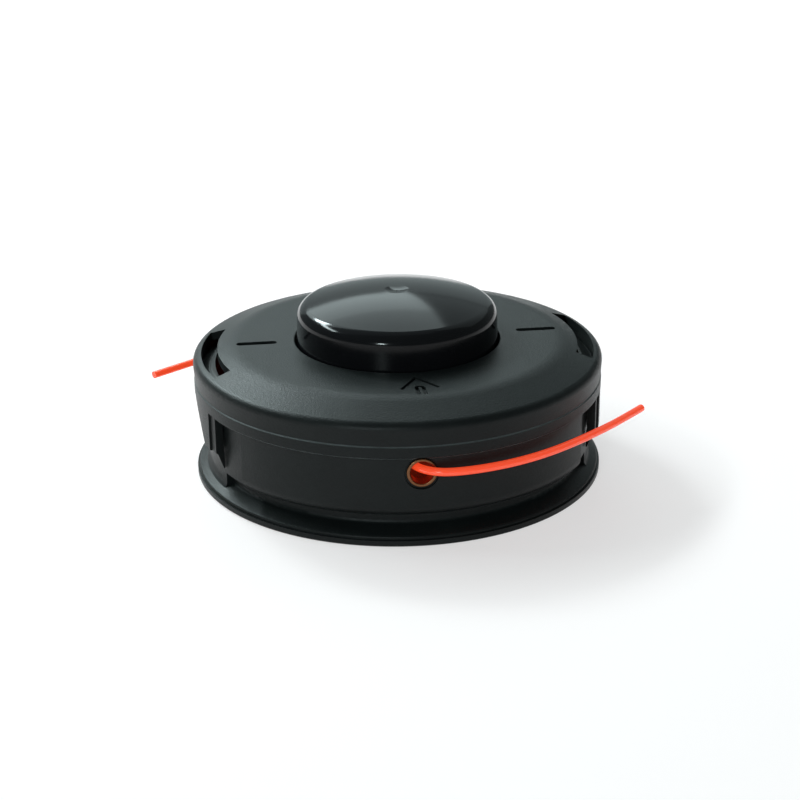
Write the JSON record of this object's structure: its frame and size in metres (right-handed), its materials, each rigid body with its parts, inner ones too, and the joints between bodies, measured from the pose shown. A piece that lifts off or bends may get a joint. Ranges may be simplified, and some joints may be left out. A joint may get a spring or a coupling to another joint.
{
  "type": "trimmer head",
  "caption": "Round bump-feed line head for a grass trimmer: flanged drum with brass line eyelets, clip-on cover, sprung spool and a free-spinning domed bump knob.",
  "frame": {"origin": "on the spin axis, at the underside of the flange that it stands on", "axes": "+Z along the spin axis towards the bump knob; line eyelets at -Y and +Y, latch tabs at -X and +X"},
  "size_m": [0.1527, 0.1352, 0.058],
  "materials": {
    "matte_black_plastic": "fine spark-eroded texture, glass-filled nylon",
    "gloss_black_plastic": "polished",
    "spool_plastic": "smooth moulded nylon",
    "orange_nylon": "smooth extruded monofilament",
    "eyelet_brass": "drawn, slightly dulled",
    "zinc_steel": "zinc plated",
    "spring_steel": "oiled spring wire",
    "bearing_steel": "ground and polished",
    "cage_nylon": "moulded"
  },
  "bodies": {
    "housing": {"housing": "matte_black_plastic", "drive_insert": "zinc_steel", "eyelet_front": "eyelet_brass", "eyelet_rear": "eyelet_brass", "cover": "matte_black_plastic", "spring_seat_washer": "zinc_steel", "feed_spring": "spring_steel", "line_tail_front": "orange_nylon", "line_tail_rear": "orange_nylon"},
    "thrust_washer": {"thrust_washer": "zinc_steel"},
    "spool": {"spool": "spool_plastic", "line_winding_lower": "orange_nylon", "line_winding_upper": "orange_nylon", "bearing_inner_ring": "bearing_steel", "bearing_washer": "zinc_steel", "bearing_screw": "zinc_steel"},
    "knob": {"bump_knob": "gloss_black_plastic", "bearing_outer_ring": "bearing_steel", "bearing_shields": "bearing_steel"},
    "ball_set": {"bearing_balls": "bearing_steel", "bearing_cage": "cage_nylon"}
  },
  "joints": [
    {"name": "bump_slide", "type": "slide", "parent": "housing", "child": "thrust_washer", "axis": [0, 0, -1], "range_m": [0, 0.006], "stiffness_N_per_m": 1500, "springref_m": -0.01, "deforming": ["feed_spring"]},
    {"name": "spool_turn", "type": "hinge", "parent": "thrust_washer", "child": "spool", "pos_m": [0, 0, 0.03], "axis": [0, 0, -1], "range_deg": [0, 45]},
    {"name": "knob_spin", "type": "hinge", "parent": "spool", "child": "knob", "pos_m": [0, 0, 0.0485], "axis": [0, 0, 1], "continuous": true},
    {"name": "ball_set_spin", "type": "hinge", "parent": "spool", "child": "ball_set", "pos_m": [0, 0, 0.0485], "axis": [0, 0, 1], "continuous": true}
  ],
  "couplings": [
    {"joint": "ball_set_spin", "follows": "knob_spin", "ratio": 0.6323}
  ]
}
